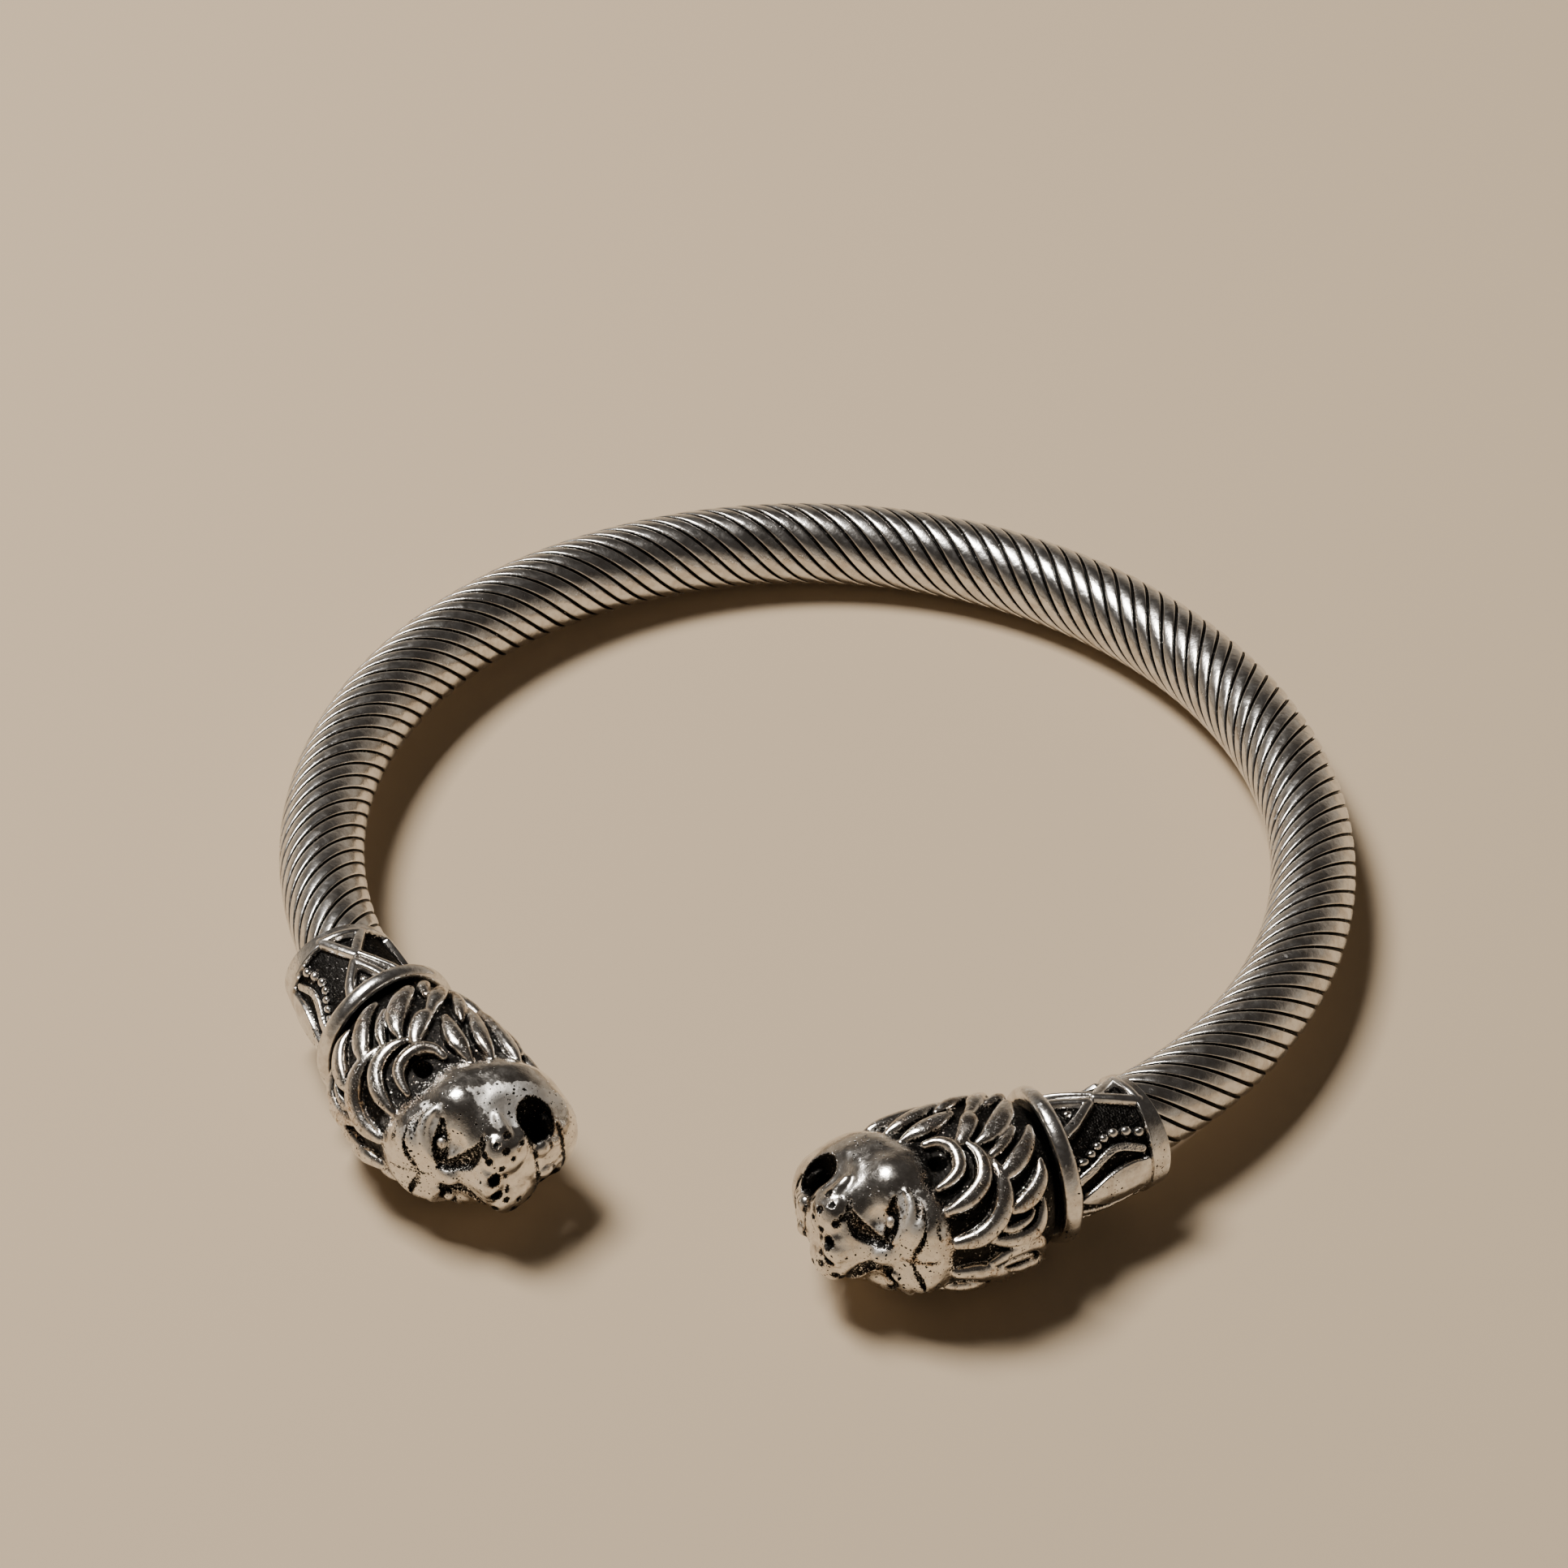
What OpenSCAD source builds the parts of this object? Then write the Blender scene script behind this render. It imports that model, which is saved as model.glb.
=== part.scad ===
// Open kada bangle. A round rod with spiral grooves is bent to a C, and each of its
// two ends sits in an ornamented collar that carries a cast lion head. The bangle
// lies as it rests by itself: on the back of the rod and on the two heads. The gap
// faces -Y, the wrist passes along Z, and the origin is on the surface that the
// bangle rests on, at the middle of the ring.

/* [Ring] */
// Inner diameter of the ring, a bangle of size 2-8
inner_d = 63.5; // [58:0.1:67]
// Diameter of the rod over its bands
rod_d = 6; // [5.6:0.1:6.4]
// Angle from the middle of the gap to the middle of each rim ring
rim_angle = 40.6; // [38:0.2:50]

/* [Spiral grooves] */
// Number of grooves that run side by side around the rod
groove_count = 12; // [8:1:14]
// Length of rod in which a groove goes once around it
groove_lead = 17.4; // [14:0.1:24]
// Depth of a groove
groove_depth = 0.22; // [0.1:0.01:0.4]
// Width of a groove on the rod's surface
groove_w = 0.36; // [0.2:0.01:0.5]

/* [Seats] */
// Diameter of the plain spigot at each end of the rod
spigot_d = 4.2; // [3.6:0.1:4.6]
// Length of the spigot inside its collar
spigot_len = 3.4; // [2.5:0.1:3.8]
// Diameter of the tenon behind each head
tenon_d = 4; // [3:0.1:5]
// Length of the tenon
tenon_len = 2.2; // [1.5:0.1:2.6]
// Space left between seated pieces
clearance = 0.1; // [0.05:0.01:0.2]

/* [Collar] */
// Length of the collar along its middle, from the rod's end face to the rim ring
collar_len = 6.9; // [6.5:0.1:8.5]
// Diameter of the collar's ground at the rod
collar_rod_d = 7.2; // [7:0.1:8]
// Diameter of the collar's ground at the rim ring
collar_rim_d = 8.3; // [7.6:0.1:9]
// Distance of the collar's middle line outside the rod's middle line
collar_out = 0.9; // [0.7:0.1:1.4]
// Height of the raised straps and the lip
ornament_h = 0.42; // [0.2:0.01:0.6]
// Number of points that each zigzag strap has around the collar
strap_points = 6; // [4:1:8]
// Outer diameter of the rim ring
rim_d = 10.8; // [10:0.1:12]
// Thickness of the rim ring's wire
rim_wire = 1.1; // [0.8:0.1:1.4]

/* [Lion head] */
// Length from the back of the mane to the nose
head_len = 16.3; // [14:0.1:18]
// Space between the rim ring's wire and the back of the mane
head_gap = 0.2; // [0.1:0.05:0.4]
// Height of the skull's crown outside the head's axis
crown_h = 7.3; // [6.5:0.1:8]
// Depth of the skull's chin inside the head's axis
chin_h = 4.9; // [4.5:0.1:5.5]
// Half of the skull's width across the ring's plane
side_w = 5.3; // [5:0.1:6]
// Angle that the head leans inwards from the ring's tangent at the rim
head_lean = 5; // [0:0.2:8]
// Turn of the left terminal about its own axis, with its crown going down
left_turn = 9; // [0:1:12]
// Number of locks around the mane
lock_count = 12; // [9:1:16]
// Height of a lock above the mane's ground
lock_h = 0.7; // [0.3:0.05:0.9]
// Height of the ear's ridge
ear_h = 0.8; // [0.4:0.05:1]
// Height of the muzzle, brow and cheek above the skull
face_h = 0.6; // [0.3:0.05:0.8]
// Diameter of the open mouth from corner to corner, along the head
mouth_d = 2.6; // [1.8:0.1:3.2]
// Metal left in front of the mouth's corners
lip_t = 0.7; // [0.5:0.1:1]
// Distance of the mouth's middle inside the head's axis
mouth_in = 0.7; // [0:0.1:1.5]
// Height of the opening between the front teeth
bite_h = 1.1; // [0.6:0.1:1.4]
// Width of the opening between the front teeth
bite_w = 2.8; // [2:0.1:3.6]

/* [Hidden] */

silver = [0.62, 0.6, 0.57];
dark_silver = [0.5, 0.48, 0.46];
bore_facets = 40;

rod_r = rod_d / 2;
ring_r = inner_d / 2 + rod_r;
rim_r = ring_r + collar_out;
head_start = rim_wire / 2 + head_gap;

// Rod: both edges of each groove and its bottom, in a section that turns with the spiral
rod_sections_per_turn = 8;
band_step = 360 / groove_count;
groove_step = groove_w / rod_r * 180 / PI;
rod_profile = [
    for (i = [0:groove_count - 1], k = [0:2])
        [i * band_step + k * groove_step / 2, k == 1 ? rod_r - groove_depth : rod_r]
];

// The rod's shoulder meets the collar's end face, and its spigot goes on inside
collar_end_angle = rim_angle + collar_len / rim_r * 180 / PI;
shoulder_angle = collar_end_angle + clearance / ring_r * 180 / PI;
spigot_angle = shoulder_angle - spigot_len / ring_r * 180 / PI;
fluted_arc = 360 - 2 * shoulder_angle;
fluted_turn = fluted_arc / 180 * PI * ring_r / groove_lead * 360;
rod_sections = ceil(fluted_turn / 360 * rod_sections_per_turn);

// Collar: rings over the rim's wire, then rings that follow the zigzag of two straps.
// Each row is a ring: where it lies at the straps' low and high points, as shares of
// the collar's length from the rim to the rod, and 1 where it is raised
LOW = 0;
HIGH = 1;
RAISED = 2;
collar_rows = [
    [0.08, 0.09, 0],
    [0.11, 0.32, 0],
    [0.14, 0.38, 1],
    [0.24, 0.52, 1],
    [0.28, 0.57, 0],
    [0.38, 0.66, 0],
    [0.42, 0.71, 1],
    [0.53, 0.81, 1],
    [0.57, 0.84, 0],
    [0.83, 0.86, 0],
    [0.87, 0.89, 1],
    [1.00, 1.00, 1]
];
strap_steps = 8;
collar_points_around = strap_points * strap_steps;
rim_rings = 5;

// Head: shares of the crown's height, of the chin's depth and of the half width at
// shares of the head's length, from the neck to the blunt front
AT = 0;
CROWN = 1;
CHIN = 2;
SIDE = 3;
head_profile = [
    [0.00, 0.56, 0.80, 0.76],
    [0.03, 0.60, 0.82, 0.80],
    [0.08, 0.79, 0.84, 0.94],
    [0.16, 0.87, 0.87, 0.97],
    [0.35, 0.96, 0.91, 1.00],
    [0.50, 0.98, 0.92, 0.94],
    [0.62, 0.92, 0.97, 0.89],
    [0.70, 0.84, 1.00, 0.86],
    [0.76, 0.73, 0.97, 0.84],
    [0.83, 0.61, 0.91, 0.82],
    [0.92, 0.57, 0.82, 0.78],
    [1.00, 0.54, 0.72, 0.70]
];
head_squareness = 2.25;
neck_share = 0.1;
front_len = 0.075;
front_squareness = 0.6;
front_flat = 0.04;
relief_fade = 0.04;
lock_roundness = 0.8;
head_points_around = 48;
head_ring_shares = concat(
    [0, 0.035, 0.065, 0.095],
    [for (i = [1:14]) 0.095 + i * 0.0365],
    [for (i = [1:10]) 0.606 + i * 0.032],
    [0.948, 0.966, 0.981, 0.992, 1]
);

// Mane: three tiers of leaning locks, each tier half a lock on from the one before
FROM = 0;
TO = 1;
mane_tiers = [[0.07, 0.29], [0.24, 0.45], [0.40, 0.60]];
lock_lean = 75;
mane_front_crown = 0.62;
mane_front_cheek = 0.46;
mane_front_chin = 0.60;
mane_fade = 0.08;

// Face: forms on the skull. Each row is a place as a share of the head's length and
// an angle from the crown, half a length, half a width in degrees, and a height
PLACE = 0;
TURN = 1;
HALF_LEN = 2;
HALF_TURN = 3;
RISE = 4;
face_forms = [
    [0.66, 78, 0.17, 42, 0.8],
    [0.69, 26, 0.06, 36, 1.0],
    [0.76, 34, 0.05, 17, -1.7],
    [0.86, 25, 0.08, 11, -1.0],
    [0.90, 0, 0.15, 15, 0.9],
    [0.94, 52, 0.09, 32, 1.1],
    [0.97, 14, 0.03, 10, -1.2],
    [0.93, 180, 0.08, 60, 0.5],
    [0.69, 0, 0.12, 7, -0.6]
];
ear_form = [0.48, 62, 0.085, 24, 1];
ear_pit_share = 0.6;

function clamp(x, low, high) = min(max(x, low), high);
function bump(d) = abs(d) < 1 ? (1 + cos(180 * d)) / 2 : 0;
function fold(a) = abs(a > 180 ? a - 360 : a);
function away(t, a, form) =
    norm([(t - form[PLACE]) / form[HALF_LEN], (a - form[TURN]) / form[HALF_TURN]]);
function total(list, i = 0) = i < len(list) ? list[i] + total(list, i + 1) : 0;

// A closed skin over rings of points: sides in triangles, and a flat face at each end
function skin_faces(rings, around) = concat(
    [[for (j = [0:around - 1]) j]],
    [for (i = [0:rings - 2], j = [0:around - 1]) [
        i * around + j,
        (i + 1) * around + j,
        (i + 1) * around + (j + 1) % around
    ]],
    [for (i = [0:rings - 2], j = [0:around - 1]) [
        i * around + j,
        (i + 1) * around + (j + 1) % around,
        i * around + (j + 1) % around
    ]],
    [[for (j = [around - 1:-1:0]) (rings - 1) * around + j]]
);

module skin(rings) {
    around = len(rings[0]);
    polyhedron(points = [for (ring = rings, p = ring) p], faces = skin_faces(len(rings), around));
}

// Rod: a point at an angle from the gap, for a point of the turned section
function rod_point(at, around, r) = [
    (ring_r + r * cos(around)) * sin(at),
    -(ring_r + r * cos(around)) * cos(at),
    r * sin(around)
];
function rod_ring(at, share) = [for (p = rod_profile) rod_point(at, p[0] - share * fluted_turn, p[1])];
function spigot_ring(at, share) = [
    for (p = rod_profile) rod_point(at, p[0] - share * fluted_turn, spigot_d / 2)
];

// Head: the skull's radius at a share of its length and an angle round it
function profile(t, column) = lookup(t, [for (row = head_profile) [row[AT], row[column]]]);
function front_share(t) =
    pow(max(1 - pow(max(t - 1 + front_len, 0) / front_len, 2), front_flat), front_squareness / 2);
function skull_radius(t, a) =
    let (
        up = cos(a) > 0 ? crown_h * profile(t, CROWN) : chin_h * profile(t, CHIN),
        across = side_w * profile(t, SIDE)
    )
    front_share(t) * pow(pow(abs(cos(a)) / up, head_squareness)
        + pow(abs(sin(a)) / across, head_squareness), -1 / head_squareness);
function locks(t, a) = max([
    for (i = [0:len(mane_tiers) - 1])
        let (
            along = (t - mane_tiers[i][FROM]) / (mane_tiers[i][TO] - mane_tiers[i][FROM]),
            turn = (a - lock_lean * along) * lock_count / 360 + i / 2
        )
        along > 0 && along < 1 ? pow(abs(sin(180 * turn)), lock_roundness) * sqrt(sin(180 * along)) : 0
]);
function mane_front(a) =
    a < 90 ? mane_front_cheek + (mane_front_crown - mane_front_cheek) * pow(cos(a), 2)
        : mane_front_cheek + (mane_front_chin - mane_front_cheek) * pow(cos(a), 2);
function mane_share(t, a) = clamp((mane_front(a) - t) / mane_fade, 0, 1);
function face_relief(t, a) = face_h * total([
    for (form = face_forms) form[RISE] * bump(away(t, a, form))
]);
function ear_relief(t, a) =
    let (d = away(t, a, ear_form))
    ear_h * (bump((d - 1) / (1 - ear_pit_share)) - bump(d / ear_pit_share));
function head_relief(t, a) =
    lock_h * locks(t, a) * mane_share(t, a) + face_relief(t, a) + ear_relief(t, a);
// The neck's back face stays parallel to the rim ring, though the head leans
function head_point(t, a) =
    let (
        r = skull_radius(t, a) + head_relief(t, fold(a)) * clamp((1 - t) / relief_fade, 0, 1),
        neck = clamp(1 - t / neck_share, 0, 1)
    )
    [head_start + t * head_len - r * cos(a) * tan(head_lean) * neck, r * cos(a), r * sin(a)];
head_rings = [
    for (t = head_ring_shares) [
        for (j = [0:head_points_around - 1]) head_point(t, j * 360 / head_points_around)
    ]
];

// Where a head's point lies on the ring, after the lean and the terminal's turn
function leant(p) = [
    p[0] * cos(head_lean) + p[1] * sin(head_lean),
    p[1] * cos(head_lean) - p[0] * sin(head_lean),
    p[2]
];
function turned(p, angle) = [
    p[0],
    p[1] * cos(angle) - p[2] * sin(angle),
    p[1] * sin(angle) + p[2] * cos(angle)
];
function on_ring(p) = [
    rim_r * sin(rim_angle) - p[0] * cos(rim_angle) + p[1] * sin(rim_angle),
    -rim_r * cos(rim_angle) - p[0] * sin(rim_angle) - p[1] * cos(rim_angle),
    p[2]
];

// Rest: the surface touches the back of the rod and the lowest point of each head.
// The heads' turns differ, so the ring also leans a little to one side
function rest_angle(p) =
    let (back = ring_r - p[1], far = norm([back, p[2]]))
    atan2(-p[2], back) - asin(rod_r / far);
function low_angle(turn) = max([
    for (ring = head_rings, p = ring) rest_angle(on_ring(turned(leant(p), turn)))
]);
low_left = low_angle(-left_turn);
low_right = low_angle(0);
rest_tilt = (low_left + low_right) / 2;
head_middle = on_ring(leant([head_start + head_len / 2, 0, 0]));
rest_lean = (low_left - low_right) / 2 * (ring_r - head_middle[1]) / head_middle[0];
rest_lift = rod_r + ring_r * sin(rest_tilt);

// Collar: its middle line follows the ring, back from the rim ring to the rod
function collar_point(back, r, a) =
    let (turn = back / rim_r * 180 / PI)
    [-(rim_r + r * cos(a)) * sin(turn), (rim_r + r * cos(a)) * cos(turn) - rim_r, r * sin(a)];
function rim_ring(k) =
    let (a = -90 + 180 * k / rim_rings, r = (rim_d - rim_wire + rim_wire * cos(a)) / 2)
    [
        for (j = [0:collar_points_around - 1])
            collar_point(-rim_wire / 2 * sin(a), r, j * 360 / collar_points_around)
    ];
function strap_ring(row) = [
    for (j = [0:collar_points_around - 1])
        let (
            zigzag = 1 - abs(2 * (j % strap_steps) / strap_steps - 1),
            at = row[LOW] + (row[HIGH] - row[LOW]) * zigzag,
            ground = (collar_rim_d + (collar_rod_d - collar_rim_d) * at) / 2
        )
        collar_point(at * collar_len, ground + ornament_h * row[RAISED], j * 360 / collar_points_around)
];
collar_rings = concat(
    [for (k = [rim_rings:-1:0]) rim_ring(k)],
    [for (row = collar_rows) strap_ring(row)]
);

module rest() {
    translate([0, 0, rest_lift]) rotate([-rest_tilt, rest_lean, 0]) children();
}

module terminal(side) {
    rest() mirror([side < 0 ? 1 : 0, 0, 0])
        translate([rim_r * sin(rim_angle), -rim_r * cos(rim_angle), 0])
            rotate([0, 0, 180 + rim_angle])
                rotate([side < 0 ? -left_turn : 0, 0, 0]) children();
}

module rod() {
    color(silver) rest() skin(concat(
        [spigot_ring(spigot_angle, 0), spigot_ring(shoulder_angle, 0)],
        [for (i = [0:rod_sections])
            rod_ring(shoulder_angle + fluted_arc * i / rod_sections, i / rod_sections)],
        [spigot_ring(360 - shoulder_angle, 1), spigot_ring(360 - spigot_angle, 1)]
    ));
}

module spigot_bore() {
    start = spigot_angle - clearance / ring_r * 180 / PI;
    past = rod_d / ring_r * 180 / PI;
    rotate([0, 0, start - 90])
        rotate_extrude(angle = shoulder_angle - start + past, $fn = 3 * bore_facets)
            translate([ring_r, 0]) circle(d = spigot_d + 2 * clearance, $fn = bore_facets);
}

module collar(side) {
    color(dark_silver) difference() {
        terminal(side) skin(collar_rings);
        rest() mirror([side < 0 ? 1 : 0, 0, 0]) spigot_bore();
        terminal(side) translate([-tenon_len - clearance, 0, 0]) rotate([0, 90, 0])
            cylinder(d = tenon_d + 2 * clearance, h = tenon_len + rim_wire, $fn = bore_facets);
    }
}

module lion_head(side) {
    mouth_at = head_start + head_len - lip_t - mouth_d / 2;
    tenon_root = 2 * head_start;
    color(silver) terminal(side) difference() {
        union() {
            rotate([0, 0, -head_lean]) skin(head_rings);
            translate([-tenon_len, 0, 0]) rotate([0, 90, 0])
                cylinder(d = tenon_d, h = tenon_len + tenon_root, $fn = bore_facets);
        }
        rotate([0, 0, -head_lean]) translate([mouth_at, -mouth_in, 0]) {
            cylinder(d = mouth_d, h = 4 * side_w, center = true, $fn = bore_facets);
            translate([0, -bite_h / 2, -bite_w / 2]) cube([mouth_d / 2 + 2 * lip_t, bite_h, bite_w]);
        }
    }
}

module collar_left() { collar(-1); }
module collar_right() { collar(1); }
module lion_head_left() { lion_head(-1); }
module lion_head_right() { lion_head(1); }

rod();
collar_left();
collar_right();
lion_head_left();
lion_head_right();
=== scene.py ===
# An open kada bangle: a spiral-grooved rod, two ornamented collars and two cast lion
# heads. Sizes are in millimetres until a mesh is made. A head is sculpted as a distance
# field in its own axes: x along the head from the rim ring, u out to the crown and w
# up. A collar is a skin over its length back from the rim ring and an angle from the
# outward side.

import math

import bpy
import numpy as np
from mathutils import Matrix, Vector


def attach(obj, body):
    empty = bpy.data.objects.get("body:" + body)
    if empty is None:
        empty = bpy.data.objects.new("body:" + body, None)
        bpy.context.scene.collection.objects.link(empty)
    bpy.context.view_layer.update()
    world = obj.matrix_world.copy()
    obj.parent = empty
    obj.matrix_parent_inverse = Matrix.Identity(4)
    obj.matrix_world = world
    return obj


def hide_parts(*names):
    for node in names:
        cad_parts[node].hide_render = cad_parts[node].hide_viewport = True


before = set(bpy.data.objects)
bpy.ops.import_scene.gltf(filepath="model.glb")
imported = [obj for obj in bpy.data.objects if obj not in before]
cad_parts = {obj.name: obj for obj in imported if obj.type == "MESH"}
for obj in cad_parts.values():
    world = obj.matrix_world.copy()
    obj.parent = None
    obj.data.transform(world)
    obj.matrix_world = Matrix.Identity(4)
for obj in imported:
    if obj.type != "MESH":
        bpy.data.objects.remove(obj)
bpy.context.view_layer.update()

MM = 0.001

# The ring, as the solids have it
INNER_R = 31.75
ROD_R = 3.0
RING_R = INNER_R + ROD_R
RIM_R = RING_R + 0.9
RIM_ANGLE = math.radians(40.6)
HEAD_LEAN = math.radians(5)
LEFT_TURN = math.radians(-9)
REST_TILT = math.radians(-2.71)
REST_LEAN = math.radians(0.11)
REST_LIFT = 4.645
COLLAR_LEN = 6.9
GROOVES = 12
GROOVE_LEAD = 17.4
# How far the rod's skin goes on inside the collars, in radians
ROD_TUCK = 0.006

# How far the face is turned about the head's axis, crown upwards
FACE_TURN = math.radians(3.5)
# How far the left face is cast forward of the right one
LEFT_FORWARD = 0.42

# How fine the skins are
ROD_ROWS = 500
COLLAR_COLUMNS = 480
COLLAR_STEP = 0.045
VOXEL = 0.115


# Placing

def turn_pair(a, b, angle):
    """Two axes turned by an angle, a toward b"""
    c, s = np.cos(angle), np.sin(angle)
    return a * c - b * s, a * s + b * c


def rest(p):
    """From the ring's own plane to the slant at which it lies"""
    x, y, z = p.T
    y, z = turn_pair(y, z, REST_TILT)
    z, x = turn_pair(z, x, REST_LEAN)
    return np.stack([x, y, z], 1)


def on_ring(p, side):
    """From a terminal's axes, x to the tip, y outward and z up, to the row's. It only turns."""
    x, y, z = p.T
    if side < 0:
        y, z = turn_pair(y, z, LEFT_TURN)
    c, s = math.cos(RIM_ANGLE), math.sin(RIM_ANGLE)
    return rest(np.stack([side * (y * s - x * c), -x * s - y * c, z], 1))


def head_to_ring(p, side):
    """From the head's axes to the row's. It only turns."""
    x, y, z = p.T
    y, z = turn_pair(y, z, FACE_TURN)
    x, y = turn_pair(x, y, -HEAD_LEAN)
    return on_ring(np.stack([x, y, z], 1), side)


def rim_place(side):
    """The middle of the rim ring at a collar's end"""
    c, s = math.cos(RIM_ANGLE), math.sin(RIM_ANGLE)
    return rest(np.array([[side * RIM_R * s, -RIM_R * c, 0.0]]))[0] + [0, 0, REST_LIFT]


def make_mesh(name, points, faces, oxide, normals=None, matt=None):
    """points in millimetres in the row frame, and faces with their corners in either order"""
    a, b, c, d = (points[[f[i] for f in faces if len(f) == 4]] for i in range(4))
    volume = (a * (np.cross(b, c) + np.cross(c, d))).sum()
    faces = [list(f) if volume > 0 else list(f)[::-1] for f in faces]
    mesh = bpy.data.meshes.new(name)
    mesh.from_pydata((points * MM).tolist(), [], faces)
    mesh.update()
    mesh.polygons.foreach_set("use_smooth", [True] * len(mesh.polygons))
    for label, values in (("oxide", oxide), ("matt", matt)):
        if values is not None:
            layer = mesh.attributes.new(label, "FLOAT", "POINT")
            layer.data.foreach_set("value", np.asarray(values, np.float32))
    if normals is not None:
        mesh.normals_split_custom_set_from_vertices(normals.tolist())
    piece = bpy.data.objects.new(name, mesh)
    bpy.context.scene.collection.objects.link(piece)
    return piece


def skin_faces(rows, columns):
    """Faces between rows of points that run round, and one face over each end"""
    i, j = np.meshgrid(np.arange(rows - 1), np.arange(columns), indexing="ij")
    k = (j + 1) % columns
    corners = (i * columns + j, (i + 1) * columns + j, (i + 1) * columns + k, i * columns + k)
    faces = np.stack(corners, -1).reshape(-1, 4).tolist()
    faces.append(list(range(columns)))
    faces.append([(rows - 1) * columns + j for j in range(columns - 1, -1, -1)])
    return faces


def smoothstep(low, high, x):
    t = np.clip((x - low) / (high - low), 0, 1)
    return t * t * (3 - 2 * t)


def spline(points, steps):
    """A smooth line through rows of numbers"""
    p = np.array(points, float)
    p = np.vstack([2 * p[0] - p[1], p, 2 * p[-1] - p[-2]])
    out = []
    for i in range(1, len(p) - 2):
        t = np.linspace(0, 1, steps, endpoint=False)[:, None]
        a, b, c, d = p[i - 1], p[i], p[i + 1], p[i + 2]
        out.append(0.5 * (2 * b + (c - a) * t + (2 * a - 5 * b + 4 * c - d) * t ** 2
                          + (3 * b - a - 3 * c + d) * t ** 3))
    out.append(p[-2][None])
    return np.vstack(out)


# Rod: a section turned along the ring. A groove and a slightly domed band repeat in it,
# given by shares of their width and heights over the rod's radius.

BAND = [
    (0.0, -0.3), (0.05, -0.27), (0.085, -0.17), (0.11, -0.075), (0.14, -0.04), (0.2, -0.02),
    (0.33, -0.004), (0.5, 0.0), (0.67, -0.004), (0.8, -0.02), (0.86, -0.04), (0.89, -0.075),
    (0.915, -0.17), (0.95, -0.27),
]


def build_rod():
    end = RIM_ANGLE + COLLAR_LEN / RIM_R - ROD_TUCK
    share, drop = np.array(BAND).T
    around = (np.arange(GROOVES)[:, None] + share[None]).ravel() / GROOVES * 2 * math.pi
    r = ROD_R + np.tile(drop, GROOVES)
    dark = np.tile(smoothstep(-0.05, -0.12, drop), GROOVES)
    at = np.linspace(end, 2 * math.pi - end, ROD_ROWS)[:, None]
    a = around[None] - (at - end) * RING_R / GROOVE_LEAD * 2 * math.pi
    reach = RING_R + r * np.cos(a)
    p = np.stack([reach * np.sin(at), -reach * np.cos(at), r * np.sin(a)], -1).reshape(-1, 3)
    placed = rest(p) + [0, 0, REST_LIFT]
    return make_mesh("rod_skin", placed, skin_faces(ROD_ROWS, len(r)), np.tile(dark, ROD_ROWS))


# Collar: places along its length, and angles in degrees from the outward side. The
# pattern is the same above and below.

GROUND_R = 4.0
GROUND_TAPER = 0.58
PER_DEGREE = 4.1 * math.pi / 180
# The rim leans to the head by this much, most of all at this angle
RIM_SKEW = 0.4
RIM_SKEW_AT = math.radians(44)
# Each strap: the place and angle of both ends, and a half width
STRAPS = [
    (0.2, 62, 3.05, 91, 0.32), (0.2, 110, 3.05, 93, 0.32), (0.2, 133, 3.7, 101, 0.26),
    (3.8, 97, 6.3, 75, 0.36), (3.8, 97, 6.3, 119, 0.36), (6.25, 75, 6.25, 119, 0.3),
    (0.2, 152, 3.05, 180, 0.32), (3.75, 180, 6.3, 159, 0.34), (6.25, 159, 6.25, 182, 0.3),
]
# Each bead: a place, an angle and a radius
BEADS = [
    (5.25, 45, 0.37), (4.4, 51, 0.38), (3.5, 54, 0.37), (2.75, 52, 0.32), (2.15, 47, 0.3),
    (1.6, 42, 0.28), (1.1, 37, 0.26), (0.7, 32, 0.22), (1.35, 88, 0.26),
]
# The middle of the curved ridge, and the edge of the leaf
RIDGE = [(5.1, 28), (4.5, 33), (3.7, 38), (2.9, 38), (2.1, 33), (1.4, 27), (0.7, 20)]
LEAF = [
    (0.55, 0), (1.1, 7), (2.0, 15), (3.1, 20), (4.2, 21), (4.9, 19), (5.45, 17), (5.55, 8),
    (5.55, 0),
]
# The wire of the rim: places and distances from the axis
RIM_PROFILE = [
    (-0.1, 3.2), (-0.22, 4.2), (-0.34, 4.45), (-0.56, 4.62), (-0.7, 4.85), (-0.72, 5.05),
    (-0.62, 5.25), (-0.4, 5.38), (-0.12, 5.43), (0.12, 5.42), (0.3, 5.35), (0.44, 5.2), (0.5, 5.02),
    (0.52, 4.8), (0.55, 4.5),
]
# How high the patterns stand over the ground, and how much their middles bulge
STRAP_HEIGHT = 0.52
STRAP_BULGE = 0.1
RIDGE_HEIGHT = 0.36
LEAF_HEIGHT = 0.5
LEAF_BULGE = 0.14
# The raised lip at the rod's end
LIP_HEIGHT = 0.55
LIP_FROM = 6.02
LIP_TO = 6.16
LIP_LEAN = 0.5
GRAIN = 0.045
RIDGE_GRAIN = 0.03
# The end at the rod: a place, a height over the last row and how black it is
TAIL = [(6.93, 0.0, 0.0), (6.97, -0.14, 0.0), (6.98, -0.4, 0.2), (6.9, -0.95, 1.0), (6.7, -1.2, 1.0)]


def to_line(b, s, start, end):
    """Distance to a straight line"""
    d = np.array(end) - start
    t = np.clip(((b - start[0]) * d[0] + (s - start[1]) * d[1]) / (d @ d), 0, 1)
    return np.hypot(b - start[0] - t * d[0], s - start[1] - t * d[1])


def to_path(b, s, path):
    """Distance to the nearest part of a path"""
    return np.minimum.reduce([to_line(b, s, p, q) for p, q in zip(path[:-1], path[1:])])


def smooth_path(places):
    """A smooth path on the collar through places and angles"""
    return spline([(b, a * PER_DEGREE) for b, a in places], 6)


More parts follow.
